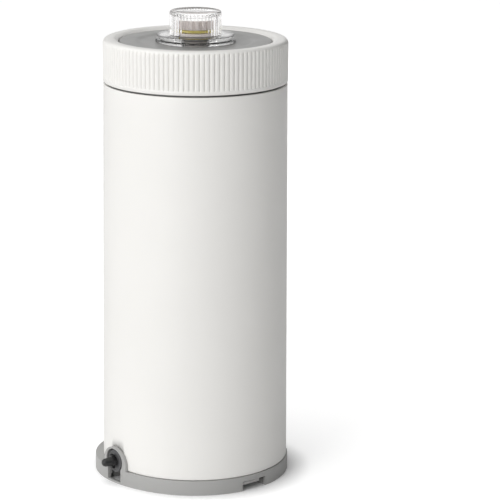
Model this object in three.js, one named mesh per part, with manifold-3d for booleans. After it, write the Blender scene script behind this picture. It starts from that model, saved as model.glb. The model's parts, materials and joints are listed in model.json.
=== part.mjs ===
// Cartridge filter housing with a built-in pump, for a small above-ground pool.
// A white shell stands on a grey base ring. Inside it, a filter tank holds a pleated cartridge above a
// canned-rotor pump. A ribbed collar clamps the grey lid onto the tank's neck, a clear knob on the lid lets
// trapped air out, and a cross-handled flush valve at the front of the base drains the tank.
// Units are millimetres, +Z is up, the origin is the centre of the underside, and the front faces -Y.
import * as THREE from "three";
import { mergeVertices } from "three/addons/utils/BufferGeometryUtils.js";
import Module from "manifold-3d";

const wasm = await Module();
wasm.setup();

// Driving dimensions.
const GAP = 0.3; // clearance between pieces that touch
const ROUND = 40; // facets round a large ring
const INNER_ROUND = 32; // facets round a ring inside the tower
const SMALL_ROUND = 16; // facets round a small part

const SHELL_R = 76; // at the shell's top
const FOOT_R = 78; // at its foot
const SHELL_WALL = 2.6;
const SEAM_Z = 12.5; // top of the base ring, foot of the shell
const SHELL_TOP = 332.5;

const BASE_R = 79;
const BULGE = 5.9; // how far the base swells past its own radius beside the flush valve
const BULGE_AT = -32; // degrees from the front, towards -X
const BULGE_HALF = 62; // degrees
const SKIRT_WALL = 3;

const ARCH_R = 14.4; // grey arch round the flush valve
const ARCH_Z = 16.4;
const RECESS_R = 10.5; // mouth of the valve's recess
const VALVE_R = 9.6;
const VALVE_Z = 18.8;
const VALVE_SEAT_ROOT = 58;
const VALVE_FACE_R = 81; // how far the valve's seat face is from the tower's axis
const DRAIN_AT = 53; // the drain tube's distance from the tower's axis
const NOTCH_AT = 95.6; // latch notch in the base ring, degrees from the front
const NOTCH_WIDTH = 24.6;
const NOTCH_HIGH = 8.3;
const GLAND_AT = -75; // cable gland in the swell of the base
const GLAND_Z = 5.8;

const TANK_R = 70;
const TANK_WALL = 3;
const TANK_FLOOR = 132;
const NECK_TOP = 356.2;

const COLLAR_R = 76.3;
const COLLAR_BOTTOM = SHELL_TOP + 1.6;
const COLLAR_TOP = 369.2;
const COLLAR_GRIPS = 29; // grooves round the collar
const RIB_DEPTH = 0.9;

const LID_R = 62.6;
const LID_RIM_Z = 367.2;
const AIR_SEAT_R = 33; // clear seat plate under the air knob
const SEAT_TOP = 372.2;
const KNOB_R = 21.4;
const KNOB_TOP = 391.8;

const CARTRIDGE_R = 54;
const CARTRIDGE_H = 203;
const CARTRIDGE_BORE = 25.5;
const CARTRIDGE_BOTTOM = TANK_FLOOR + TANK_WALL + 6;
const PLEATS = 64;

const INLET_Z = 164;
const OUTLET_Z = 103;
const PORT_R = 16; // a 32 mm hose slides over it
const PORT_BORE = 13;
const PORT_TIP = 118; // port mouth's distance from the tower's axis

const degrees = (angle) => (angle * Math.PI) / 180;

// A three.js geometry as a manifold-3d solid whose faces point outwards.
function solid(geometry) {
  const bare = geometry.index ? geometry.toNonIndexed() : geometry.clone();
  bare.deleteAttribute("normal");
  bare.deleteAttribute("uv");
  const merged = mergeVertices(bare, 1e-4);
  const vertProperties = merged.attributes.position.array;
  const triVerts = new Uint32Array(merged.index.array);
  const made = new wasm.Manifold(new wasm.Mesh({ numProp: 3, vertProperties, triVerts }));
  if (made.volume() > 0) return made;
  for (let i = 0; i < triVerts.length; i += 3)
    [triVerts[i + 1], triVerts[i + 2]] = [triVerts[i + 2], triVerts[i + 1]];
  return new wasm.Manifold(new wasm.Mesh({ numProp: 3, vertProperties, triVerts }));
}

// A profile of [radius, height] points turned about the Z axis.
function turned(points, facets = ROUND) {
  const profile = points.map(([r, z]) => new THREE.Vector2(r, z));
  return solid(new THREE.LatheGeometry(profile, facets).rotateX(Math.PI / 2));
}

// The same for a ring or tube: the profile closes on itself.
const ring = (points, facets) => turned([...points, points[0]], facets);

const tube = (outer, inner, low, high, facets) =>
  ring([[inner, low], [outer, low], [outer, high], [inner, high]], facets);

const disc = (radius, low, high, facets) =>
  turned([[0, low], [radius, low], [radius, high], [0, high]], facets);

// A torus of six-sided section, for seals.
function seal(radius, z, thickness, facets = ROUND) {
  const section = [];
  for (let i = 0; i < 6; i++) {
    const angle = (i / 6) * 2 * Math.PI;
    section.push([radius + (thickness / 2) * Math.cos(angle), z + (thickness / 2) * Math.sin(angle)]);
  }
  return ring(section, facets);
}

// A flat outline of [x, y] points pushed up from low to high.
function prism(points, low, high) {
  const shape = new THREE.Shape(points.map(([x, y]) => new THREE.Vector2(x, y)));
  const geometry = new THREE.ExtrudeGeometry(shape, { depth: high - low, bevelEnabled: false });
  return solid(geometry.translate(0, 0, low));
}

const box = (x0, x1, y0, y1, z0, z1) => prism([[x0, y0], [x1, y0], [x1, y1], [x0, y1]], z0, z1);

// An upright box across the direction at an angle from the front, between two radii.
function prismAt(angle, width, inner, outer, low, high) {
  return box(-width / 2, width / 2, -outer, -inner, low, high).rotate([0, 0, angle]);
}

// Turns something made about +Z so that it points out of the front, along -Y, at height z.
const toFront = (made, z) => made.rotate([90, 0, 0]).translate([0, 0, z]);

// Turns something made about +Z so that it points out of the left side, along -X, at height z.
const toLeft = (made, z) => made.rotate([0, -90, 0]).translate([0, 0, z]);

// The base's outline: a circle that swells beside the flush valve. angle is in degrees from the front.
function baseRadius(angle) {
  const away = Math.abs(angle - BULGE_AT) / BULGE_HALF;
  return BASE_R + (away < 1 ? BULGE * Math.cos((away * Math.PI) / 2) ** 2 : 0);
}

function baseOutline(inset = 0) {
  const points = [];
  const count = 96;
  for (let i = 0; i < count; i++) {
    const angle = (i / count) * 360 - 180;
    const r = baseRadius(angle) - inset;
    points.push([r * Math.sin(degrees(angle)), -r * Math.cos(degrees(angle))]);
  }
  return points;
}

const cutAll = (made, cutters) => cutters.reduce((left, cutter) => left.subtract(cutter), made);

// ---- base ----

const FOOT_ANGLES = [45, 135, 225, 315]; // degrees from the front

function baseRing() {
  const skirt = prism(baseOutline(), 0, SEAM_Z);
  const hollow = prism(baseOutline(SKIRT_WALL), -1, SEAM_Z - SKIRT_WALL);
  const well = disc(66, -1, SEAM_Z + 1);
  const skin = prism(baseOutline(), 0, ARCH_Z + ARCH_R + 1).subtract(disc(FOOT_R + GAP, -1, 60));
  const pillars = box(-ARCH_R, ARCH_R, -95, -60, SEAM_Z - 2, ARCH_Z);
  const arch = skin.intersect(toFront(disc(ARCH_R, 60, 95, 32), ARCH_Z).add(pillars));
  const mouth = toFront(disc(RECESS_R, 60, 95, 32), VALVE_Z);
  const trough = box(-8.5, 8.5, -95, -60, 1.8, VALVE_Z);
  const notch = prismAt(NOTCH_AT, NOTCH_WIDTH, 60, 90, -1, NOTCH_HIGH);
  const gland = toFront(disc(3.7, 60, 90, SMALL_ROUND), GLAND_Z).rotate([0, 0, GLAND_AT]);
  return cutAll(skirt.subtract(hollow).subtract(well).add(arch), [mouth, trough, notch, gland]);
}

// The sprung bar in the notch hooks the ring onto the base plate. Two arms lie on the plate and carry the
// bar, and one end of the notch stays open.
function baseLatch() {
  const left = -NOTCH_WIDTH / 2 + 0.6;
  const right = NOTCH_WIDTH / 2 - 7;
  const bar = box(left, right, -78.2, -73, 5.6, NOTCH_HIGH - 0.5);
  const arms = [left, right - 3].map((x) => box(x, x + 3, -74, -56, 4.7, 7.2));
  return bar.add(arms[0]).add(arms[1]).rotate([0, 0, NOTCH_AT]);
}

function basePlate() {
  const plate = disc(BASE_R - SKIRT_WALL - 0.5, 0, 4.4);
  const notch = prismAt(NOTCH_AT, NOTCH_WIDTH, 62, 90, -1, 9);
  const gland = toFront(disc(4.2, 60, 90, SMALL_ROUND), GLAND_Z).rotate([0, 0, GLAND_AT]);
  const valveBay = box(-12, 12, -90, -VALVE_SEAT_ROOT + 1, -1, 6);
  const pads = FOOT_ANGLES.map((a) => footAt(a, 9.4, -1, 2));
  const screws = FOOT_ANGLES.map((a) => screwAt(a, 4.4, -1, 2.2).add(screwAt(a, 2.2, 1, 6)));
  return cutAll(plate, [valveBay, notch, gland, ...pads, ...screws]);
}

function footAt(angle, radius, low, high) {
  return disc(radius, low, high, SMALL_ROUND).translate([0, -56, 0]).rotate([0, 0, angle]);
}

function screwAt(angle, radius, low, high) {
  return disc(radius, low, high, 12).translate([0, -36, 0]).rotate([0, 0, angle]);
}

const footPad = (angle) => footAt(angle, 9, 0, 1.7);

// A pan-head screw driven up into the motor can's foot.
function baseScrew(angle) {
  const head = screwAt(angle, 3.9, 0.3, 1.9);
  const slot = box(-3, 3, -36.4, -35.6, 0, 0.9).rotate([0, 0, angle]);
  return head.add(screwAt(angle, 1.8, 1.8, 13)).subtract(slot);
}

// ---- shell and tank ----

function bodyShell() {
  const skin = ring([
    [FOOT_R - SHELL_WALL, SEAM_Z + GAP], [FOOT_R, SEAM_Z + GAP], [SHELL_R, SHELL_TOP],
    [SHELL_R - SHELL_WALL, SHELL_TOP],
  ]);
  const mouth = toFront(disc(RECESS_R + 1, 60, 90, 32), VALVE_Z);
  const foot = box(-RECESS_R - 1, RECESS_R + 1, -90, -60, 0, VALVE_Z);
  const ports = [INLET_Z, OUTLET_Z].map((z) => toLeft(disc(PORT_R + 3, 60, 90, 32), z));
  return cutAll(skin, [mouth, foot, ...ports]);
}

// The tank hangs in the shell: a cup with a thick neck that carries the collar's thread.
function filterTank() {
  const inner = TANK_R - TANK_WALL;
  const ridge = (z) => [[69.2, z], [70.1, z + 1], [70.1, z + 2.4], [69.2, z + 3.4]];
  const profile = [
    [30, TANK_FLOOR], [TANK_R, TANK_FLOOR], [TANK_R, SHELL_TOP - 6], [72.8, SHELL_TOP - 6],
    [72.8, SHELL_TOP - 1.5], [69.2, SHELL_TOP - 1.5],
    ...ridge(SHELL_TOP + 4), ...ridge(SHELL_TOP + 12),
    [69.2, NECK_TOP], [68.8, NECK_TOP], [68.8, NECK_TOP - 1.7], [66.9, NECK_TOP - 1.7], [66.9, NECK_TOP],
    [66, NECK_TOP], [66, SHELL_TOP - 3], [inner, SHELL_TOP - 7], [inner, TANK_FLOOR + TANK_WALL],
    [30, TANK_FLOOR + TANK_WALL],
  ];
  const inlet = toLeft(disc(PORT_R + GAP, 60, 80, 32), INLET_Z);
  const drain = disc(4.4, TANK_FLOOR - 5, TANK_FLOOR + 5, SMALL_ROUND).translate([0, -DRAIN_AT, 0]);
  return cutAll(ring(profile), [inlet, drain]);
}

// The stub that the cartridge's lower bore sits over, with the pump's suction eye through it.
function cartridgeSeat() {
  const top = TANK_FLOOR + TANK_WALL;
  return ring([
    [18, TANK_FLOOR - 6], [29.6, TANK_FLOOR - 6], [29.6, top + GAP], [36, top + GAP], [36, top + 3],
    [CARTRIDGE_BORE - 0.6, top + 3], [CARTRIDGE_BORE - 1.4, top + 16], [18, top + 16],
  ], INNER_ROUND);
}

// ---- pump ----

const PUMP_TOP = TANK_FLOOR - 6 - GAP;
const VOLUTE_FLOOR = 88;

function voluteCasing() {
  const cup = ring([
    [14, VOLUTE_FLOOR], [46, VOLUTE_FLOOR], [46, PUMP_TOP - 6], [42.5, PUMP_TOP - 6],
    [42.5, VOLUTE_FLOOR + 3], [14, VOLUTE_FLOOR + 3],
  ], INNER_ROUND);
  return cup.subtract(toLeft(disc(PORT_R + GAP, 30, 60, 32), OUTLET_Z));
}

function voluteCover() {
  const low = PUMP_TOP - 6 + GAP;
  return ring([
    [18, low], [46, low], [46, PUMP_TOP - 2], [29, PUMP_TOP - 2], [29, PUMP_TOP], [18, PUMP_TOP],
  ], INNER_ROUND);
}

const CAN_TOP = VOLUTE_FLOOR - GAP;

function motorCan() {
  const can = turned([
    [0, 14], [48, 14], [48, 17], [44, 17], [44, CAN_TOP], [13.7, CAN_TOP], [13.7, CAN_TOP - 3],
    [41.5, CAN_TOP - 3], [41.5, 19], [0, 19],
  ], INNER_ROUND);
  return cutAll(can, FOOT_ANGLES.map((a) => screwAt(a, 2.1, 10, 30)));
}

function statorCore() {
  const core = tube(38, 17, 34, 70, INNER_ROUND);
  const slots = [];
  for (let i = 0; i < 6; i++) slots.push(box(-5, 5, -31, -15, 20, 80).rotate([0, 0, i * 60]));
  return cutAll(core, slots);
}

// One winding in each slot of the core.
function statorCoil(index) {
  return box(-4.2, 4.2, -30, -20, 29, 75).rotate([0, 0, index * 60]);
}

const rotorSleeve = () =>
  turned([[0, 20], [13, 20], [13, CAN_TOP - 0.4], [11.6, CAN_TOP - 0.4], [11.6, 22], [0, 22]], SMALL_ROUND);

const bush = (low, high) => tube(11.2, 2.6, low, high, SMALL_ROUND);

// ---- rotor ----

const rotorShaft = () => disc(2.4, 24.5, 111, SMALL_ROUND);
const rotorMagnet = () => tube(10.8, 2.7, 32, 76, SMALL_ROUND);

function impeller() {
  const floor = VOLUTE_FLOOR + 5;
  const hub = tube(6, 2.7, floor, floor + 15, SMALL_ROUND);
  const plate = tube(32, 2.7, floor, floor + 2, INNER_ROUND);
  const vanes = [];
  for (let i = 0; i < 6; i++) vanes.push(vane(floor + 1.9, floor + 12).rotate([0, 0, i * 60]));
  return vanes.reduce((all, one) => all.add(one), hub.add(plate));
}

// A backward-curved vane, from the hub out to the plate's rim.
function vane(low, high) {
  const outer = [];
  const inner = [];
  for (let i = 0; i <= 6; i++) {
    const t = i / 6;
    const r = 5.5 + 25.5 * t;
    const lead = degrees(-50 * t) + 0.9 / r;
    const trail = degrees(-50 * t) - 0.9 / r;
    outer.push([r * Math.cos(lead), r * Math.sin(lead)]);
    inner.push([r * Math.cos(trail), r * Math.sin(trail)]);
  }
  return prism([...outer, ...inner.reverse()], low, high);
}

// ---- hose ports ----

// A hose spigot with two barbs and a flange that stands against the shell.
function port(root) {
  return ring(
    [
      [PORT_BORE, root], [PORT_R, root], [PORT_R, 78.4], [22, 78.4], [22, 81.4], [PORT_R, 83.4],
      [PORT_R - 0.6, 98], [PORT_R + 0.6, 99], [PORT_R - 0.6, 106], [PORT_R + 0.6, 107],
      [PORT_R - 1, PORT_TIP], [PORT_BORE, PORT_TIP],
    ],
    32,
  );
}

const portGasket = () => tube(18.6, PORT_R + GAP, 75.4, 78, 24);

// ---- flush valve ----

// The seat: a dark plug in the front of the base, bored for the valve's stem.
function flushSeat() {
  return ring(
    [
      [4, VALVE_SEAT_ROOT], [VALVE_R, VALVE_SEAT_ROOT], [VALVE_R, VALVE_FACE_R - 0.8],
      [VALVE_R - 0.8, VALVE_FACE_R], [4, VALVE_FACE_R],
    ],
    SMALL_ROUND,
  );
}

// The plug that is turned: a stem in the seat, a cross of four wings and a round nozzle.
function flushPlug() {
  const stem = disc(3.6, 60, VALVE_FACE_R + 1, SMALL_ROUND);
  const face = VALVE_FACE_R + 0.6;
  const wing = box(-1.9, 1.9, -5.8, 5.8, face, face + 3);
  const nozzle = turned(
    [[0, face], [3.9, face], [3.6, face + 4], [3.4, face + 8.8], [2.6, face + 10.4], [0, face + 11]],
    SMALL_ROUND,
  );
  return stem.add(wing).add(wing.rotate([0, 0, 90])).add(nozzle);
}

// The tube that joins the tank's floor to the valve.
function drainTube() {
  const drop = disc(4.4, VALVE_Z, TANK_FLOOR - GAP, SMALL_ROUND).translate([0, -DRAIN_AT, 0]);
  return drop.add(toFront(disc(5.5, DRAIN_AT - 3.6, VALVE_SEAT_ROOT - GAP, SMALL_ROUND), VALVE_Z));
}

// ---- cable gland, low on the swell of the base ----

function cableGland() {
  const flange = baseRadius(GLAND_AT) + 0.8;
  const body = ring(
    [
      [1.6, 68], [3.4, 68], [3.4, flange], [5, flange],
      [5, flange + 3], [3.8, flange + 3], [3, 96], [1.6, 96],
    ],
    SMALL_ROUND,
  );
  return toFront(body, GLAND_Z).rotate([0, 0, GLAND_AT]);
}

// The potted block between the gland and the motor, where the supply leads are joined.
const terminalBlock = () => prismAt(GLAND_AT, 24, 50.5, 63.5, 5, 23);

// ---- cartridge ----

function cartridgeCap(low, high) {
  const step = high - 2.4;
  return ring([
    [CARTRIDGE_BORE, low], [CARTRIDGE_R, low], [CARTRIDGE_R, high - 1], [CARTRIDGE_R - 1, high],
    [CARTRIDGE_R - 12, high], [CARTRIDGE_R - 13, step], [CARTRIDGE_BORE + 6, step],
    [CARTRIDGE_BORE + 5, high - 0.4], [CARTRIDGE_BORE, high - 0.4],
  ], INNER_ROUND);
}

function cartridgePleats(low, high) {
  const points = [];
  for (let i = 0; i < PLEATS * 2; i++) {
    const angle = (i / PLEATS) * Math.PI;
    const r = i % 2 ? CARTRIDGE_R - 17 : CARTRIDGE_R - 2.5;
    points.push([r * Math.cos(angle), r * Math.sin(angle)]);
  }
  return prism(points, low, high).subtract(disc(30, low - 1, high + 1, INNER_ROUND));
}

function cartridgeCore(low, high) {
  const core = tube(29.4, CARTRIDGE_BORE + 1.5, low, high, SMALL_ROUND);
  const windows = [];
  for (let level = 0; level < 4; level++)
    for (let i = 0; i < 4; i++) {
      const z = low + 12 + level * 43;
      windows.push(box(-5, 5, -40, -20, z, z + 32).rotate([0, 0, i * 90]));
    }
  return cutAll(core, windows);
}

// ---- lid ----

function lidCover() {
  const under = LID_RIM_Z - 3.6;
  return ring([
    [9.6, under], [56, under], [56, COLLAR_TOP - 17], [61, COLLAR_TOP - 17], [61, COLLAR_TOP - 12.2],
    [68.6, COLLAR_TOP - 12.2], [68.6, COLLAR_TOP - 9.4], [LID_R, COLLAR_TOP - 9.4], [LID_R, LID_RIM_Z - 0.6],
    [LID_R - 0.6, LID_RIM_Z], [48.5, LID_RIM_Z], [44, LID_RIM_Z - 1.2], [9.6, LID_RIM_Z - 1.2],
  ]);
}

// The ribbed collar. Its skin dips between ribs, apart from a plain band along its foot and its rounded top.
function lidCollar() {
  const plain = ring([
    [70.9, COLLAR_BOTTOM], [COLLAR_R - 0.4, COLLAR_BOTTOM], [COLLAR_R, COLLAR_BOTTOM + 0.5],
    [COLLAR_R, COLLAR_TOP - 3.6], [COLLAR_R - 1, COLLAR_TOP - 1.1], [73.2, COLLAR_TOP], [67.4, COLLAR_TOP],
    [LID_R + 0.6, COLLAR_TOP - 2.4], [LID_R + 0.6, COLLAR_TOP - 9], [70.9, COLLAR_TOP - 9],
  ]);
  const low = COLLAR_BOTTOM + 3;
  const grooves = [];
  for (let i = 0; i < COLLAR_GRIPS; i++) {
    const groove = box(-1, 1, -COLLAR_R - 1, -COLLAR_R + RIB_DEPTH, low, COLLAR_TOP - 2.4);
    grooves.push(groove.rotate([0, 0, (i / COLLAR_GRIPS) * 360]));
  }
  return cutAll(plain, grooves);
}

// ---- air release valve ----

// Two flat tiers with a groove between them.
function airSeat() {
  const foot = LID_RIM_Z - 0.9;
  const r = AIR_SEAT_R;
  return ring([
    [12.4, foot], [r, foot], [r, foot + 2], [r - 3, foot + 2.6],
    [r - 3, SEAT_TOP - 1.8], [r - 1, SEAT_TOP - 1.4], [r - 1, SEAT_TOP], [12.4, SEAT_TOP],
  ]);
}

function airKnob() {
  return turned([
    [0, KNOB_TOP - 3], [19, KNOB_TOP - 3], [19, SEAT_TOP + 0.4], [KNOB_R, SEAT_TOP + 0.4],
    [KNOB_R, KNOB_TOP - 1.5], [KNOB_R - 1.5, KNOB_TOP], [17.5, KNOB_TOP], [17, KNOB_TOP - 0.8],
    [0, KNOB_TOP - 0.8],
  ]);
}

// The stem that the knob draws up, with its head in the knob and its foot through the lid. A groove under the
// head holds the yellow ring.
function airStem() {
  const foot = SEAT_TOP - 18;
  const flange = SEAT_TOP + 0.6;
  const head = SEAT_TOP + 13.3;
  return turned([
    [0, foot], [9.2, foot], [9.2, flange], [17.4, flange], [17.4, flange + 2],
    [12, flange + 2], [12, flange + 5.2], [17.2, flange + 5.2], [17.2, head], [0, head],
  ], 24);
}

// ---- assembly ----

const finishes = {
  white: { color: 0xf0efec, roughness: 0.38 },
  grey: { color: 0xa9a8a6, roughness: 0.45 },
  darkGrey: { color: 0x5a5b5c, roughness: 0.5 },
  black: { color: 0x121212, roughness: 0.45 },
  rubber: { color: 0x1c1c1c, roughness: 0.8 },
  clear: { color: 0xeef0f0, roughness: 0.08 },
  taupe: { color: 0x9b8f88, roughness: 0.4 },
  yellow: { color: 0xd8cf4a, roughness: 0.5 },
  blue: { color: 0x0b78bd, roughness: 0.45 },
  pleat: { color: 0xf4f8fb, roughness: 0.9 },
  steel: { color: 0xb5b7ba, roughness: 0.3, metalness: 1 },
  copper: { color: 0xb06a3a, roughness: 0.4, metalness: 1 },
  ferrite: { color: 0x3b3b3d, roughness: 0.6 },
};
const materials = Object.fromEntries(
  Object.entries(finishes).map(([name, look]) => [name, new THREE.MeshStandardMaterial(look)]),
);

const housing = new THREE.Group();

function add(name, made, finish) {
  const mesh = made.getMesh();
  const geometry = new THREE.BufferGeometry();
  geometry.setAttribute("position", new THREE.BufferAttribute(new Float32Array(mesh.vertProperties), 3));
  geometry.setIndex(new THREE.BufferAttribute(new Uint32Array(mesh.triVerts), 1));
  geometry.computeVertexNormals();
  const node = new THREE.Mesh(geometry, materials[finish]);
  node.name = name;
  housing.add(node);
}

add("base_ring", baseRing(), "grey");
add("base_plate", basePlate(), "grey");
add("base_latch", baseLatch(), "grey");
FOOT_ANGLES.forEach((angle, i) => {
  add(`foot_pad_${i + 1}`, footPad(angle), "rubber");
  add(`base_screw_${i + 1}`, baseScrew(angle), "steel");
});
add("body_shell", bodyShell(), "white");
add("filter_tank", filterTank(), "grey");
add("cartridge_seat", cartridgeSeat(), "darkGrey");

add("volute_casing", voluteCasing(), "darkGrey");
add("volute_cover", voluteCover(), "darkGrey");
add("motor_can", motorCan(), "black");
add("stator_core", statorCore(), "steel");
for (let i = 0; i < 6; i++) add(`stator_coil_${i + 1}`, statorCoil(i), "copper");
add("rotor_sleeve", rotorSleeve(), "darkGrey");
add("lower_bush", bush(22.4, 30), "white");
add("upper_bush", bush(80, 86), "white");
add("rotor_shaft", rotorShaft(), "steel");
add("rotor_magnet", rotorMagnet(), "ferrite");
add("impeller", impeller(), "white");

add("inlet_port", toLeft(port(66.4), INLET_Z), "grey");
add("outlet_port", toLeft(port(46.4), OUTLET_Z), "grey");
add("inlet_gasket", toLeft(portGasket(), INLET_Z), "rubber");
add("outlet_gasket", toLeft(portGasket(), OUTLET_Z), "rubber");

add("flush_valve_seat", toFront(flushSeat(), VALVE_Z), "darkGrey");
add("flush_valve_plug", toFront(flushPlug(), VALVE_Z), "black");
add("drain_tube", drainTube(), "rubber");
add("cable_gland", cableGland(), "black");
add("terminal_block", terminalBlock(), "black");

const pleatLow = CARTRIDGE_BOTTOM + 8 + GAP;
const pleatHigh = CARTRIDGE_BOTTOM + CARTRIDGE_H - 8 - GAP;
const capHigh = CARTRIDGE_BOTTOM + CARTRIDGE_H;
const topCap = cartridgeCap(capHigh - 8, capHigh);
const bottomCap = topCap.mirror([0, 0, 1]).translate([0, 0, 2 * CARTRIDGE_BOTTOM + CARTRIDGE_H]);
add("cartridge_top_cap", topCap, "blue");
add("cartridge_bottom_cap", bottomCap, "blue");
add("cartridge_pleats", cartridgePleats(pleatLow, pleatHigh), "pleat");
add("cartridge_core", cartridgeCore(pleatLow, pleatHigh), "white");

add("lid_cover", lidCover(), "grey");
add("lid_seal", seal(67.85, NECK_TOP - 0.4, 1.4), "rubber");
add("lid_collar", lidCollar(), "white");
add("air_valve_seat", airSeat(), "clear");
add("air_valve_knob", airKnob(), "clear");
add("air_valve_stem", airStem(), "taupe");
add("air_valve_seal", seal(10.75, SEAT_TOP - 3, 2, SMALL_ROUND), "rubber");
add("air_valve_ring", seal(14.6, SEAT_TOP + 4.1, 2.4, SMALL_ROUND), "yellow");

export default housing;
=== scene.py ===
import json
import math

import bmesh
import bpy
from mathutils import Matrix, Vector


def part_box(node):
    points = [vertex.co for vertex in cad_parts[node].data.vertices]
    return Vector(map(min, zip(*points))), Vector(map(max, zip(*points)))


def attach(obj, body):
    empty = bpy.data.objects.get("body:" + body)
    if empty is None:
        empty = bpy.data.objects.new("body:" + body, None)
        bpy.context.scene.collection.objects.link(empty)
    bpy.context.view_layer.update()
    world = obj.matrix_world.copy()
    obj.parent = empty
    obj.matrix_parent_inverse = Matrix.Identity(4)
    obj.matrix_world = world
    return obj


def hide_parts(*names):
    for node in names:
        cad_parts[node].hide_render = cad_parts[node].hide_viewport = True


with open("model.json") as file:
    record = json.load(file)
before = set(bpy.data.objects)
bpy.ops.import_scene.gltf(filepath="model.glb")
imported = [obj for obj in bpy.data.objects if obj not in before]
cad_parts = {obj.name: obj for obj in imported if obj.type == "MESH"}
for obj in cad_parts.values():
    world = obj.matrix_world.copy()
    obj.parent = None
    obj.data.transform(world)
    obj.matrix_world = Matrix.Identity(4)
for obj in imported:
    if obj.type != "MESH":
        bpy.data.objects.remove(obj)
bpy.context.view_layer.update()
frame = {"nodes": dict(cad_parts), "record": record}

MM = 0.001
TAU = 2 * math.pi


# ---- sizes, all read from the frame ----

def z_low(node):
    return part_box(node)[0].z / MM


def z_high(node):
    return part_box(node)[1].z / MM


def radius(node):
    """Half of a node's width along X, in mm."""
    lowest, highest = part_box(node)
    return (highest.x - lowest.x) / 2 / MM


def middle(node, axis):
    lowest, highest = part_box(node)
    return (lowest[axis] + highest[axis]) / 2 / MM


# ---- meshes ----

def add_object(name, mesh):
    piece = bpy.data.objects.new(name, mesh)
    bpy.context.scene.collection.objects.link(piece)
    return piece


def from_bmesh(name, bm, smooth=38):
    bmesh.ops.remove_doubles(bm, verts=bm.verts, dist=1e-6)
    bmesh.ops.dissolve_degenerate(bm, edges=bm.edges, dist=1e-7)
    bmesh.ops.recalc_face_normals(bm, faces=bm.faces)
    for face in bm.faces:
        face.smooth = True
    for edge in bm.edges:
        if len(edge.link_faces) == 2:
            edge.smooth = edge.calc_face_angle(0) < math.radians(smooth)
    mesh = bpy.data.meshes.new(name)
    bm.to_mesh(mesh)
    bm.free()
    return add_object(name, mesh)


def fillet(points, size=0.5, steps=4, closed=True):
    """Rounds the corners of an outline of (radius, height) points.

    A point's third number is its own rounding.
    """
    out = []
    count = len(points)
    for i, point in enumerate(points):
        here = Vector(point[:2])
        own = point[2] if len(point) > 2 else size
        if not closed and i in (0, count - 1):
            out.append(tuple(here))
            continue
        back = Vector(points[i - 1][:2]) - here
        on = Vector(points[(i + 1) % count][:2]) - here
        cut = min(own, back.length * 0.48, on.length * 0.48)
        if cut < 0.02 or back.angle(on, 0) > math.radians(176):
            out.append(tuple(here))
            continue
        start, end = here + back.normalized() * cut, here + on.normalized() * cut
        for k in range(steps + 1):
            t = k / steps
            out.append(tuple(start * (1 - t) ** 2 + here * 2 * t * (1 - t) + end * t * t))
    return out


def around(r, z, angle):
    """A place in metres at a radius and a height in mm, with its angle counted from the front towards +X."""
    return r * math.sin(angle) * MM, -r * math.cos(angle) * MM, z * MM


def arc(centre_r, centre_z, wide, high, count):
    """The upper right quarter of an ellipse, from its side up to its top, without the point at its side."""
    turns = [math.pi / 2 * k / count for k in range(1, count + 1)]
    return [(centre_r + wide * math.cos(t), centre_z + high * math.sin(t)) for t in turns]


def lathe(name, outline, segments=192, closed=True, warp=None, place=None, smooth=38):
    """Turns an outline of (radius, height) points in mm about Z. warp(r, z, angle) may change the radius."""
    bm = bmesh.new()
    rows = []
    for j in range(segments):
        angle = TAU * j / segments
        row = []
        for r, z in outline:
            reach = warp(r, z, angle) if warp else r
            row.append(bm.verts.new(around(reach, z, angle)))
        rows.append(row)
    count = len(outline)
    for j in range(segments):
        one, two = rows[j], rows[(j + 1) % segments]
        for i in range(count if closed else count - 1):
            k = (i + 1) % count
            bm.faces.new((one[i], two[i], two[k], one[k]))
    if place:
        bmesh.ops.transform(bm, matrix=place, verts=bm.verts)
    return from_bmesh(name, bm, smooth)


def to_front(z):
    """Turns what is made about +Z to point along -Y, at height z in mm."""
    return Matrix.Translation((0, 0, z * MM)) @ Matrix.Rotation(math.pi / 2, 4, "X")


def to_left(z):
    """Turns what is made about +Z to point along -X, at height z in mm."""
    return Matrix.Translation((0, 0, z * MM)) @ Matrix.Rotation(-math.pi / 2, 4, "Y")


def turn_z(degrees):
    return Matrix.Rotation(math.radians(degrees), 4, "Z")


def prism(name, outline, low, high, place=None, smooth=38):
    """An outline of (x, y) points in mm, pushed up from low to high."""
    bm = bmesh.new()
    bottom = [bm.verts.new((x * MM, y * MM, low * MM)) for x, y in outline]
    upper = [bm.verts.new((x * MM, y * MM, high * MM)) for x, y in outline]
    bm.faces.new(bottom)
    bm.faces.new(upper)
    for i in range(len(outline)):
        k = (i + 1) % len(outline)
        bm.faces.new((bottom[i], bottom[k], upper[k], upper[i]))
    if place:
        bmesh.ops.transform(bm, matrix=place, verts=bm.verts)
    return from_bmesh(name, bm, smooth)


def block(name, x0, x1, y0, y1, z0, z1, place=None):
    return prism(name, [(x0, y0), (x1, y0), (x1, y1), (x0, y1)], z0, z1, place)


def round_bar(name, r, low, high, place=None, segments=96):
    return lathe(name, [(0, low), (r, low), (r, high), (0, high)], segments, closed=False, place=place)


def apply_modifiers(piece):
    graph = bpy.context.evaluated_depsgraph_get()
    mesh = bpy.data.meshes.new_from_object(piece.evaluated_get(graph))
    old = piece.data
    piece.modifiers.clear()
    piece.data = mesh
    bpy.data.meshes.remove(old)


def combine(piece, others, operation):
    """Adds the other pieces to a piece or cuts them out of it, and removes them."""
    for other in others:
        modifier = piece.modifiers.new("combine", "BOOLEAN")
        modifier.operation, modifier.object, modifier.solver = operation, other, "EXACT"
        bpy.context.view_layer.update()
        apply_modifiers(piece)
        bpy.data.objects.remove(other)
    return piece


def cut(piece, *others):
    return combine(piece, others, "DIFFERENCE")


def join(piece, *others):
    return combine(piece, others, "UNION")


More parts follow.
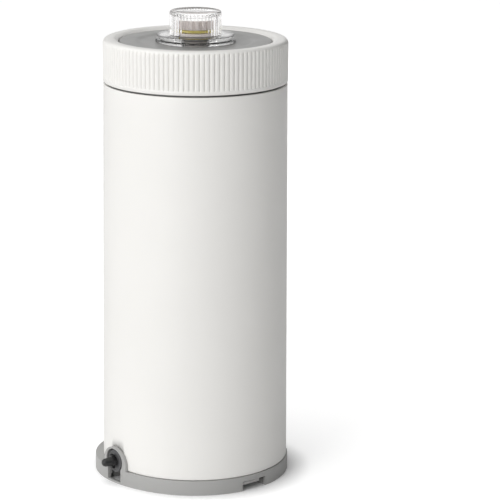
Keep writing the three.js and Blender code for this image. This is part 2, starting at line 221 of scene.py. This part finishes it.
def bevel(piece, width=0.6, segments=3, limit=35, smooth=38):
    modifier = piece.modifiers.new("bevel", "BEVEL")
    modifier.width, modifier.segments = width * MM, segments
    modifier.limit_method, modifier.angle_limit = "ANGLE", math.radians(limit)
    modifier.use_clamp_overlap = True
    modifier.harden_normals = False
    bpy.context.view_layer.update()
    apply_modifiers(piece)
    bm = bmesh.new()
    bm.from_mesh(piece.data)
    for face in bm.faces:
        face.smooth = True
    for edge in bm.edges:
        if len(edge.link_faces) == 2:
            edge.smooth = edge.calc_face_angle(0) < math.radians(smooth)
    bm.to_mesh(piece.data)
    bm.free()
    return piece


# ---- materials ----

class Nodes:
    """A material's node tree, with short calls to add and link its nodes."""

    def __init__(self, name):
        self.material = bpy.data.materials.new(name)
        self.material.use_nodes = True
        self.tree = self.material.node_tree
        self.shader = self.tree.nodes["Principled BSDF"]
        self.place = self.add("ShaderNodeTexCoord").outputs["Object"]

    def add(self, kind, **values):
        node = self.tree.nodes.new(kind)
        for key, value in values.items():
            setattr(node, key, value)
        return node

    def link(self, source, target):
        self.tree.links.new(source, target)

    def noise(self, scale, detail=3, rough=0.55, stretch=None):
        node = self.add("ShaderNodeTexNoise")
        node.inputs["Scale"].default_value = scale
        node.inputs["Detail"].default_value = detail
        node.inputs["Roughness"].default_value = rough
        source = self.place
        if stretch:
            mapping = self.add("ShaderNodeMapping")
            mapping.inputs["Scale"].default_value = stretch
            self.link(self.place, mapping.inputs["Vector"])
            source = mapping.outputs["Vector"]
        self.link(source, node.inputs["Vector"])
        return node.outputs["Fac"]

    def spread(self, source, low, high, start=0.3, end=0.7):
        node = self.add("ShaderNodeMapRange")
        for key, value in (("From Min", start), ("From Max", end), ("To Min", low), ("To Max", high)):
            node.inputs[key].default_value = value
        self.link(source, node.inputs["Value"])
        return node.outputs["Result"]

    def blend(self, source, one, two, start=0.3, end=0.7):
        ramp = self.add("ShaderNodeValToRGB")
        ramp.color_ramp.elements[0].position, ramp.color_ramp.elements[0].color = start, (*one, 1)
        ramp.color_ramp.elements[1].position, ramp.color_ramp.elements[1].color = end, (*two, 1)
        self.link(source, ramp.inputs["Fac"])
        return ramp.outputs["Color"]

    def bump(self, source, strength, distance):
        node = self.add("ShaderNodeBump")
        node.inputs["Strength"].default_value = strength
        node.inputs["Distance"].default_value = distance
        self.link(source, node.inputs["Height"])
        self.link(node.outputs["Normal"], self.shader.inputs["Normal"])


def shade(colour, factor):
    return tuple(min(1, c * factor) for c in colour)


def moulded(name, colour, roughness=0.4, grain=0.25, vary=0.03, coat=0.0):
    """Injection-moulded plastic: slow colour drift from the moulding, and a fine spark-eroded grain."""
    n = Nodes(name)
    slow = n.noise(9, 2)
    fine = n.noise(1900, 2)
    n.link(n.blend(slow, shade(colour, 1 - vary), shade(colour, 1 + vary)), n.shader.inputs["Base Color"])
    n.link(n.spread(n.noise(60, 4), roughness - 0.05, roughness + 0.05), n.shader.inputs["Roughness"])
    n.bump(fine, grain, 0.00006)
    n.shader.inputs["Coat Weight"].default_value = coat
    n.shader.inputs["Coat Roughness"].default_value = 0.25
    return n.material


def rubbery(name, colour):
    n = Nodes(name)
    n.link(n.blend(n.noise(120, 4), shade(colour, 0.75), shade(colour, 1.4)), n.shader.inputs["Base Color"])
    n.link(n.spread(n.noise(300, 3), 0.62, 0.85), n.shader.inputs["Roughness"])
    n.bump(n.noise(2500, 3), 0.4, 0.0001)
    return n.material


def clear(name, colour, roughness=0.05):
    """Clear moulded plastic, with faint flow marks in its gloss."""
    n = Nodes(name)
    n.link(n.blend(n.noise(35, 2), shade(colour, 0.97), colour), n.shader.inputs["Base Color"])
    n.link(n.spread(n.noise(90, 3), roughness, roughness + 0.06), n.shader.inputs["Roughness"])
    n.bump(n.noise(420, 2), 0.06, 0.0002)
    n.shader.inputs["Transmission Weight"].default_value = 1.0
    n.shader.inputs["IOR"].default_value = 1.42
    return n.material


def metal(name, colour, roughness, stretch=(1, 1, 1)):
    n = Nodes(name)
    streaks = n.noise(300, 4, stretch=stretch)
    n.link(n.blend(streaks, shade(colour, 0.85), shade(colour, 1.1)), n.shader.inputs["Base Color"])
    n.link(n.spread(streaks, roughness - 0.08, roughness + 0.1), n.shader.inputs["Roughness"])
    n.shader.inputs["Metallic"].default_value = 1.0
    n.bump(streaks, 0.15, 0.00005)
    return n.material


def paper(name, colour):
    """Spun filter cloth: short fibres that mottle its colour and its surface."""
    n = Nodes(name)
    fibres = n.noise(900, 6, 0.7, stretch=(1, 1, 0.35))
    n.link(n.blend(fibres, shade(colour, 0.9), shade(colour, 1.06)), n.shader.inputs["Base Color"])
    n.link(n.spread(fibres, 0.8, 0.98), n.shader.inputs["Roughness"])
    n.bump(fibres, 0.5, 0.0002)
    n.shader.inputs["Sheen Weight"].default_value = 0.25
    return n.material


WHITE = (0.80, 0.79, 0.765)
GREY = (0.36, 0.358, 0.35)
looks = {
    "white_shell": moulded("white_shell", WHITE, 0.42, 0.12, 0.012, coat=0.12),
    "white_collar": moulded("white_collar", WHITE, 0.38, 0.12, 0.012, coat=0.12),
    "grey_base": moulded("grey_base", GREY, 0.46, 0.3),
    "grey_lid": moulded("grey_lid", shade(GREY, 0.86), 0.4, 0.25),
    "grey_tank": moulded("grey_tank", shade(GREY, 0.9), 0.42, 0.2),
    "grey_port": moulded("grey_port", GREY, 0.42, 0.2),
    "dark_plastic": moulded("dark_plastic", (0.075, 0.075, 0.078), 0.45, 0.3, 0.08),
    "black_plastic": moulded("black_plastic", (0.012, 0.012, 0.0125), 0.36, 0.2, 0.1),
    "rubber_seal": rubbery("rubber_seal", (0.02, 0.02, 0.02)),
    "clear_knob": clear("clear_knob", (0.99, 0.985, 0.98), 0.1),
    "clear_seat": clear("clear_seat", (0.97, 0.97, 0.965)),
    "taupe_stem": moulded("taupe_stem", (0.88, 0.81, 0.78), 0.4, 0.2, 0.06),
    "yellow_ring": moulded("yellow_ring", (0.80, 0.70, 0.16), 0.4, 0.2, 0.05),
    "blue_cap": moulded("blue_cap", (0.012, 0.19, 0.52), 0.42, 0.3, 0.06),
    "pleated_paper": paper("pleated_paper", (0.84, 0.88, 0.92)),
    "white_core": moulded("white_core", (0.80, 0.80, 0.79), 0.45, 0.2, 0.02),
    "steel": metal("steel", (0.60, 0.60, 0.61), 0.3, (1, 1, 8)),
    "copper": metal("copper", (0.72, 0.34, 0.16), 0.35, (1, 1, 40)),
    "ferrite": moulded("ferrite", (0.05, 0.05, 0.053), 0.6, 0.5, 0.15),
}

body_of = {node: body for body, nodes in frame["record"]["behaviour"]["bodies"].items() for node in nodes}
slot_of = {entry["node"]: entry["material_slot"] for entry in frame["record"]["subparts"]}


def finish_piece(piece, node):
    """The piece stands for a CAD node: same body, same slot, and the slot's look."""
    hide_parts(node)
    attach(piece, body_of[node])
    piece.data.materials.clear()
    piece.data.materials.append(looks[slot_of[node]])
    return piece


# ---- shell ----

SHELL_TOP = z_high("body_shell")
SHELL_FOOT = z_low("body_shell")
FOOT_R = radius("body_shell")
COLLAR_R = radius("lid_collar")
COLLAR_LOW = z_low("lid_collar")
COLLAR_HIGH = z_high("lid_collar")
SHELL_R = COLLAR_R - 0.3
WALL = 2.6
VALVE_Z = middle("flush_valve_plug", 2)
PORT_HEIGHTS = [middle("inlet_port", 2), middle("outlet_port", 2)]
RECESS_R = radius("flush_valve_seat") + 0.9
PORT_R = 16
CUT_NEAR, CUT_FAR = 60, 95  # a hole through the wall is cut from inside the wall to well outside it


def make_shell():
    rows = 24
    outside = [
        (FOOT_R + (SHELL_R - FOOT_R) * i / rows, SHELL_FOOT + (SHELL_TOP - SHELL_FOOT) * i / rows, 0.9)
        for i in range(rows + 1)
    ]
    outline = fillet([(FOOT_R - WALL, SHELL_FOOT), *outside, (SHELL_R - WALL, SHELL_TOP)], 0.6)
    shell = lathe("shell_skin", outline, 288)
    ports = [round_bar("port_hole", PORT_R + 3, CUT_NEAR, CUT_FAR, to_left(z)) for z in PORT_HEIGHTS]
    hole_r = RECESS_R + 1
    mouth = round_bar("valve_hole", hole_r, CUT_NEAR, CUT_FAR, to_front(VALVE_Z))
    foot = block("valve_slot", -hole_r, hole_r, -CUT_FAR, -CUT_NEAR, 0, VALVE_Z)
    return cut(shell, *ports, mouth, foot)


finish_piece(make_shell(), "body_shell")


# ---- base ring ----

BASE_HIGH = SHELL_FOOT - 0.3
BASE_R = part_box("base_ring")[1].x / MM
ARCH_HIGH = z_high("base_ring")
ARCH_R = 14.4
ARCH_Z = ARCH_HIGH - ARCH_R
SKIRT = 3
WELL_R = 66
BULGE, BULGE_AT, BULGE_HALF = 5.9, -32, 62  # how far the skirt swells, and at which degrees from the front
NOTCH_AT, NOTCH_WIDTH, NOTCH_HIGH = 95.6, 24.6, 8.3
TROUGH_HALF, TROUGH_FLOOR = 8.5, 1.8
GLAND_AT, GLAND_Z, GLAND_R = -75, 5.8, 3.7


def base_radius(angle):
    """The skirt's radius at an angle in degrees from the front towards +X."""
    away = abs(angle - BULGE_AT) / BULGE_HALF
    return BASE_R + (BULGE * math.cos(away * math.pi / 2) ** 2 if away < 1 else 0)


def base_outline(inset=0.0, count=240):
    points = []
    for i in range(count):
        angle = i / count * 360 - 180
        r = base_radius(angle) - inset
        points.append((r * math.sin(math.radians(angle)), -r * math.cos(math.radians(angle))))
    return points


def make_base_ring():
    ring = prism("base_skirt", base_outline(), 0, BASE_HIGH)
    hollow = prism("skirt_hollow", base_outline(SKIRT), -2, BASE_HIGH - SKIRT)
    well = round_bar("base_well", WELL_R, -5, BASE_HIGH + 5, segments=192)
    cut(ring, hollow, well)
    arch = prism("arch_skin", base_outline(), 0.5, ARCH_HIGH + 1)
    cut(arch, round_bar("arch_back", FOOT_R + 0.3, -1, 60, segments=240))
    dome = round_bar("arch_dome", ARCH_R, CUT_NEAR, CUT_FAR, to_front(ARCH_Z), 128)
    join(dome, block("arch_pillars", -ARCH_R, ARCH_R, -CUT_FAR, -CUT_NEAR, BASE_HIGH - 2, ARCH_Z))
    join(ring, combine(arch, [dome], "INTERSECT"))
    mouth = round_bar("arch_mouth", RECESS_R, CUT_NEAR, CUT_FAR, to_front(VALVE_Z), 128)
    trough = block("arch_trough", -TROUGH_HALF, TROUGH_HALF, -CUT_FAR, -CUT_NEAR, TROUGH_FLOOR, VALVE_Z)
    side = NOTCH_WIDTH / 2
    notch = block("latch_notch", -side, side, -CUT_FAR, -CUT_NEAR, -1, NOTCH_HIGH, turn_z(NOTCH_AT))
    gland = round_bar("gland_hole", GLAND_R, CUT_NEAR, CUT_FAR, turn_z(GLAND_AT) @ to_front(GLAND_Z))
    cut(ring, mouth, trough, notch, gland)
    return bevel(ring, 0.7, 3, 40)


finish_piece(make_base_ring(), "base_ring")


# ---- collar ----

RIBS = 116
LID_HOLE_R = 63.2  # the lid stands in this opening


def rib_warp(r, z, angle):
    """Rounded upright ribs on the collar's outer face, that fade out towards its foot and its top."""
    if r < COLLAR_R - 1.6 or z > COLLAR_HIGH - 0.6:
        return r
    turn = (angle * RIBS / TAU) % 1 - 0.5
    valley = 1 - math.sqrt(max(0, 1 - (2 * abs(turn)) ** 2.6))
    low_edge = min(1, max(0, (z - COLLAR_LOW - 2.9) / 1.2))
    high_edge = min(1, max(0, (COLLAR_HIGH - 1.4 - z) / 1.7))
    ease = min(low_edge, high_edge)
    return r - 1.2 * valley * ease * ease * (3 - 2 * ease)


def make_collar():
    r, low, high, hole = COLLAR_R, COLLAR_LOW, COLLAR_HIGH, LID_HOLE_R
    heights = [low + up for up in (0.6, 2, 2.9, 3.3, 3.7, 4.1, 6, 12, 18, 24)]
    side = [(r, z) for z in (*heights, high - 4.6, high - 4)]
    crown = arc(r - 3.9, high - 4, 3.9, 4, 10)
    slope = [
        (hole + 5, high), (hole + 4, high - 0.15), (hole + 3, high - 0.5), (hole + 0.7, high - 2.0),
        (hole + 0.2, high - 2.5), (hole, high - 3.2), (hole, high - 8.6), (hole + 0.4, high - 9),
    ]
    bore = [(70.5, high - 9), (70.9, high - 9.4), (70.9, low + 0.4), (71.3, low), (r - 0.5, low)]
    return lathe("collar_ribbed", side + crown + slope + bore, RIBS * 12, warp=rib_warp, smooth=50)


finish_piece(make_collar(), "lid_collar")


# ---- lid ----

RIM_Z = z_high("lid_cover")
LID_LOW = z_low("lid_cover")


def make_lid():
    edge = LID_HOLE_R - 0.6
    outline = fillet(
        [
            (9.6, RIM_Z - 3.6), (56, RIM_Z - 3.6), (56, LID_LOW), (61, LID_LOW), (61, LID_LOW + 4.8),
            (68.6, LID_LOW + 4.8), (68.6, LID_LOW + 7.6), (edge, LID_LOW + 7.6), (edge, RIM_Z, 0.8),
            (49.5, RIM_Z, 2.2), (45.5, RIM_Z - 1.2, 2.2), (9.6, RIM_Z - 1.2),
        ],
        0.5, 5,
    )
    return lathe("lid_grey", outline, 240)


finish_piece(make_lid(), "lid_cover")


# ---- air valve ----

SEAT_LOW, SEAT_HIGH, SEAT_R = z_low("air_valve_seat"), z_high("air_valve_seat"), radius("air_valve_seat")
KNOB_LOW, KNOB_HIGH, KNOB_R = z_low("air_valve_knob"), z_high("air_valve_knob"), radius("air_valve_knob")
SEAT_BORE = 12.4
KNOB_RIBS = 46
STEM_BARS = 20
STEM_HEAD_R = 18.4


def make_seat():
    """The clear seat under the knob, in two tiers with a groove between them."""
    low, high, r = SEAT_LOW, SEAT_HIGH, SEAT_R
    outline = fillet(
        [
            (SEAT_BORE, low), (r, low), (r, low + 2, 0.9), (r - 3, low + 2.6, 0.3), (r - 3, high - 1.8, 0.3),
            (r - 1, high - 1.4, 0.4), (r - 1, high, 0.6), (SEAT_BORE, high),
        ],
        0.35, 5,
    )
    return lathe("seat_clear", outline, 160)


def knob_warp(r, z, angle):
    """Fine upright flutes on the knob's outer face, that fade out towards its top."""
    if r < KNOB_R - 1.4 or z > KNOB_HIGH - 0.7:
        return r
    turn = (angle * KNOB_RIBS / TAU) % 1 - 0.5
    fade = min(1, max(0, (KNOB_HIGH - 0.9 - z) / 1.4))
    return r - 0.9 * abs(2 * turn) ** 1.5 * fade


def make_knob():
    high, low, r = KNOB_HIGH, KNOB_LOW, KNOB_R
    outside = [(r, low + 0.3), (r, low + 4), (r, low + 10), (r, high - 4), (r, high - 2.6), (r, high - 2)]
    crown = arc(r - 1.9, high - 2, 1.9, 2, 6)
    cap = [(18.2, high), (17.2, high - 0.7), (13.5, high - 0.8), (13.0, high - 1.1), (0, high - 1.1)]
    inside = [(0, high - 3), (18.4, high - 3), (19, high - 3.6), (19, low), (r - 0.3, low)]
    return lathe("knob_clear", outside + crown + cap + inside, KNOB_RIBS * 8, warp=knob_warp, smooth=55)


def stem_warp(r, z, angle):
    """Upright bars round the stem's head, with slots between them."""
    if z < KNOB_LOW + 3.6 or r < 16:
        return r
    turn = (angle * STEM_BARS / TAU) % 1
    wave = 0.5 + 0.5 * math.cos(TAU * turn)
    return r - 3.4 * wave ** 4


def make_stem():
    low, high = z_low("air_valve_stem"), z_high("air_valve_stem")
    flange, head = KNOB_LOW + 0.2, STEM_HEAD_R
    outline = fillet(
        [
            (0, low), (9.2, low), (9.2, flange), (17.4, flange), (17.4, flange + 2), (12, flange + 2.1),
            (12, flange + 4.9), (head, flange + 5), (head, flange + 6), (head, high), (0, high),
        ],
        0.3, 3, closed=False,
    )
    return lathe("stem_taupe", outline, STEM_BARS * 12, closed=False, warp=stem_warp)


def make_o_ring(name, node, thick):
    half = thick / 2
    r, z = radius(node) - half, middle(node, 2)
    turns = [TAU * k / 20 for k in range(20)]
    section = [(r + half * math.cos(t), z + half * math.sin(t)) for t in turns]
    return finish_piece(lathe(name, section, 160), node)


finish_piece(make_seat(), "air_valve_seat")
finish_piece(make_knob(), "air_valve_knob")
finish_piece(make_stem(), "air_valve_stem")
make_o_ring("seal_stem", "air_valve_seal", 2.0)
make_o_ring("ring_yellow", "air_valve_ring", 2.4)
make_o_ring("seal_lid", "lid_seal", 1.3)


# ---- flush valve ----

VALVE_R = radius("flush_valve_seat")
VALVE_ROOT = -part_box("flush_valve_seat")[1].y / MM
VALVE_FACE = -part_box("flush_valve_seat")[0].y / MM
NOZZLE_TIP = -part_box("flush_valve_plug")[0].y / MM


def make_valve_seat():
    bore, r, face = 4, VALVE_R, VALVE_FACE
    outline = fillet(
        [
            (bore, VALVE_ROOT), (r, VALVE_ROOT), (r, face, 0.8), (r - 1.8, face, 0.2),
            (r - 2.2, face - 0.5, 0.2), (bore, face - 0.5),
        ],
        0.3,
    )
    return lathe("valve_seat_dark", outline, 128, place=to_front(VALVE_Z))


def make_valve_plug():
    root, face, tip = 60, VALVE_FACE + 0.6, NOZZLE_TIP
    place = to_front(VALVE_Z)
    outline = fillet(
        [
            (0, root), (3.6, root), (3.6, face + 0.5), (4.1, face + 1, 0.3), (3.7, face + 5, 1),
            (3.4, tip - 2.2, 0.8), (2.7, tip - 0.7, 0.8), (1.6, tip, 0.4), (0, tip),
        ],
        0.3, 4, closed=False,
    )
    nozzle = lathe("valve_plug_black", outline, 96, closed=False, place=place)
    wings = [block("wing", -1.9, 1.9, -5.8, 5.8, face, face + 3, place @ turn_z(a)) for a in (0, 90)]
    return bevel(join(nozzle, *wings), 0.35, 2, 50)


finish_piece(make_valve_seat(), "flush_valve_seat")
finish_piece(make_valve_plug(), "flush_valve_plug")


# ---- ports ----

def make_port(name, node):
    """A hose tail that points left, with a flange against the shell and two barbs."""
    root, tip = -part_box(node)[1].x / MM, -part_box(node)[0].x / MM
    bore, r, flange_r, flange = 13, PORT_R, 22, 78.4
    outline = fillet(
        [
            (bore, root), (r, root), (r, flange), (flange_r, flange), (flange_r, flange + 3, 0.9),
            (r, flange + 3.2, 1.6), (r - 0.6, 98), (r + 0.9, 98.6, 0.4), (r - 0.5, 105), (r + 0.9, 106, 0.4),
            (r - 0.5, 112.5), (r + 0.4, 113.2, 0.4), (r - 1, tip), (bore, tip),
        ],
        0.4,
    )
    return finish_piece(lathe(name, outline, 128, place=to_left(middle(node, 2))), node)


make_port("port_in", "inlet_port")
make_port("port_out", "outlet_port")


# ---- tank and cartridge ----

DRAIN_Y = -53

def make_tank():
    """The tank, with a lip on the shell and a neck with two threads above it."""
    low, high, lip, neck, floor_r = z_low("filter_tank"), z_high("filter_tank"), SHELL_TOP, 69.2, 30
    outline = [
        (floor_r, low), (70, low, 2), (70, lip - 6), (72.8, lip - 6), (72.8, lip - 1.5), (neck, lip - 1.5),
    ]
    for thread in (lip + 4, lip + 12):
        outline += [(neck, thread), (70.1, thread + 1), (70.1, thread + 2.4), (neck, thread + 3.4)]
    outline += [
        (neck, high), (68.8, high, 0.1), (68.8, high - 1.7, 0.2), (66.9, high - 1.7, 0.2), (66.9, high, 0.2),
        (66, high), (66, lip - 3), (67, lip - 7), (67, low + 3, 3), (floor_r, low + 3),
    ]
    tank = lathe("tank_grey", fillet(outline, 0.45, 3), 192)
    inlet = round_bar("tank_inlet", PORT_R + 0.3, CUT_NEAR, CUT_FAR, to_left(PORT_HEIGHTS[0]))
    drain = round_bar("tank_drain", 4.4, low - 5, low + 5, Matrix.Translation((0, DRAIN_Y * MM, 0)))
    return cut(tank, inlet, drain)


def make_cap(name, node, flip):
    low, high = z_low(node), z_high(node)
    bore, r = 25.5, radius(node)
    points = [
        (bore, low), (r, low), (r, high, 2.2), (r - 12, high, 1.6), (r - 13, high - 2.4, 1.2),
        (bore + 6, high - 2.4, 1.2), (bore + 5, high - 0.4, 1.2), (bore, high - 0.4, 1),
    ]
    if flip:
        points = [(p[0], low + high - p[1], *p[2:]) for p in points][::-1]
    return finish_piece(lathe(name, fillet(points, 0.5, 5), 192), node)


PLEATS = 64
PLEAT_ROOT_R = 30


def make_pleats():
    """Paper folded in and out round the core, swaying a little between its caps."""
    low, high = z_low("cartridge_pleats"), z_high("cartridge_pleats")
    outer = radius("cartridge_pleats")
    bm = bmesh.new()
    count = PLEATS * 12
    rows = []
    levels = 20
    for j in range(count):
        angle = TAU * j / count
        fold = abs(2 * ((angle * PLEATS / TAU) % 1) - 1)
        r = outer - 0.4 - 14.5 * (1 - fold) ** 0.9
        r -= 0.8 * max(0, fold - 0.86) / 0.14
        column = []
        for k in range(levels + 1):
            z = low + (high - low) * k / levels
            sway = 0.35 * math.sin(z * 0.045 + 3 * math.sin(5 * angle)) * math.sin(math.pi * k / levels)
            column.append(bm.verts.new(around(r, z, angle + sway / outer)))
        back = [bm.verts.new(around(PLEAT_ROOT_R, z, angle)) for z in (high, low)]
        rows.append(column + back)
    size = levels + 3
    for j in range(count):
        one, two = rows[j], rows[(j + 1) % count]
        for k in range(size):
            m = (k + 1) % size
            bm.faces.new((one[k], two[k], two[m], one[m]))
    return from_bmesh("pleats_paper", bm, 60)


finish_piece(make_tank(), "filter_tank")
make_cap("cap_upper", "cartridge_top_cap", False)
make_cap("cap_lower", "cartridge_bottom_cap", True)
finish_piece(make_pleats(), "cartridge_pleats")


# ---- everything that keeps its CAD shape ----

for name, node in frame["nodes"].items():
    if node.hide_render:
        continue
    node.data.materials.clear()
    node.data.materials.append(looks[slot_of[name]])


# ---- floor, lights and camera ----

def make_floor():
    bm = bmesh.new()
    for x, y in ((-9, -9), (9, -9), (9, 9), (-9, 9)):
        bm.verts.new((x, y, 0))
    bm.faces.new(bm.verts)
    bmesh.ops.subdivide_edges(bm, edges=bm.edges, cuts=3, use_grid_fill=True)
    floor = from_bmesh("floor", bm)
    n = Nodes("floor_pale")
    n.link(n.blend(n.noise(3, 2), (0.93, 0.93, 0.93), (0.95, 0.95, 0.95)), n.shader.inputs["Base Color"])
    n.link(n.spread(n.noise(5, 2), 0.75, 0.85), n.shader.inputs["Roughness"])
    n.shader.inputs["Specular IOR Level"].default_value = 0.1
    n.shader.inputs["Emission Color"].default_value = (1, 1, 1, 1)
    away = n.add("ShaderNodeVectorMath", operation="LENGTH")
    n.link(n.place, away.inputs[0])
    glow = n.add("ShaderNodeMath", operation="MULTIPLY")
    n.link(n.add("ShaderNodeLightPath").outputs["Is Camera Ray"], glow.inputs[0])
    n.link(n.spread(away.outputs["Value"], 0.0, 0.42, 0.078, 0.1), glow.inputs[1])
    n.link(glow.outputs["Value"], n.shader.inputs["Emission Strength"])
    floor.data.materials.append(n.material)


make_floor()

VIEW_AT = 56.5  # degrees from the front towards +X
DISTANCE = 1.9
EYE_HEIGHT = 0.660
PITCH = 13.9  # degrees down from level
YAW = 1.384218  # degrees to the right of the tower, which stands left of the frame's middle
ROLL = 0.4
LENS_MM, SENSOR_MM = 167.904, 36


def make_camera():
    data = bpy.data.cameras.new("camera")
    data.sensor_width, data.lens = SENSOR_MM, LENS_MM
    data.clip_start, data.clip_end = 0.05, 50
    camera = bpy.data.objects.new("camera", data)
    bpy.context.scene.collection.objects.link(camera)
    at = math.radians(VIEW_AT)
    camera.location = (DISTANCE * math.sin(at), -DISTANCE * math.cos(at), EYE_HEIGHT)
    turn = Matrix.Rotation(at - math.radians(YAW), 3, "Z") @ Matrix.Rotation(math.radians(90 - PITCH), 3, "X")
    camera.rotation_euler = (turn @ Matrix.Rotation(math.radians(ROLL), 3, "Z")).to_euler()
    bpy.context.scene.camera = camera


BRIGHT_SIDE, DIM, BRIGHT = -58, 0.0, 1.32  # degrees from the camera's side, and the two strengths


def area_light(name, bearing, elevation, distance, size, power):
    """A soft light at a bearing from the front towards +X, aimed at the middle of the tower."""
    data = bpy.data.lights.new(name, "AREA")
    data.shape, data.size, data.size_y = "RECTANGLE", size[0], size[1]
    data.energy = power
    light = bpy.data.objects.new(name, data)
    bpy.context.scene.collection.objects.link(light)
    b, e = math.radians(bearing), math.radians(elevation)
    aim = Vector((0, 0, 0.2))
    away = Vector((math.sin(b) * math.cos(e), -math.cos(b) * math.cos(e), math.sin(e)))
    light.location = aim + away * distance
    light.rotation_euler = (-away).to_track_quat("-Z", "Y").to_euler()


def make_world():
    """A studio lit from the tower's left, dim on its right, with a backdrop that the camera sees as white."""
    world = bpy.data.worlds.new("studio")
    bpy.context.scene.world = world
    world.use_nodes = True
    tree = world.node_tree
    back = tree.nodes["Background"]
    place = tree.nodes.new("ShaderNodeTexCoord")
    toward = tree.nodes.new("ShaderNodeVectorMath")
    toward.operation = "DOT_PRODUCT"
    b, e = math.radians(VIEW_AT + BRIGHT_SIDE), math.radians(25)
    toward.inputs[1].default_value = (math.sin(b) * math.cos(e), -math.cos(b) * math.cos(e), math.sin(e))
    tree.links.new(place.outputs["Generated"], toward.inputs[0])
    level = tree.nodes.new("ShaderNodeMapRange")
    for key, value in (("From Min", -0.38), ("From Max", 1), ("To Min", DIM), ("To Max", BRIGHT)):
        level.inputs[key].default_value = value
    tree.links.new(toward.outputs["Value"], level.inputs["Value"])
    path = tree.nodes.new("ShaderNodeLightPath")
    seen = tree.nodes.new("ShaderNodeMath")
    seen.operation = "MAXIMUM"
    tree.links.new(path.outputs["Is Camera Ray"], seen.inputs[0])
    tree.links.new(path.outputs["Is Transmission Ray"], seen.inputs[1])
    mix = tree.nodes.new("ShaderNodeMix")
    tree.links.new(seen.outputs["Value"], mix.inputs["Factor"])
    tree.links.new(level.outputs["Result"], mix.inputs["A"])
    mix.inputs["B"].default_value = 1.0
    tree.links.new(mix.outputs["Result"], back.inputs["Strength"])
    back.inputs["Color"].default_value = (1, 1, 1, 1)


make_camera()
make_world()
area_light("key", VIEW_AT - 34, 22, 1.8, (0.7, 1.4), 7)
area_light("rear", VIEW_AT + 175, 20, 2.2, (1.2, 1.4), 4)
area_light("top", VIEW_AT - 60, 75, 1.5, (1.2, 1.2), 2.5)
bpy.context.scene.view_settings.view_transform = "Standard"
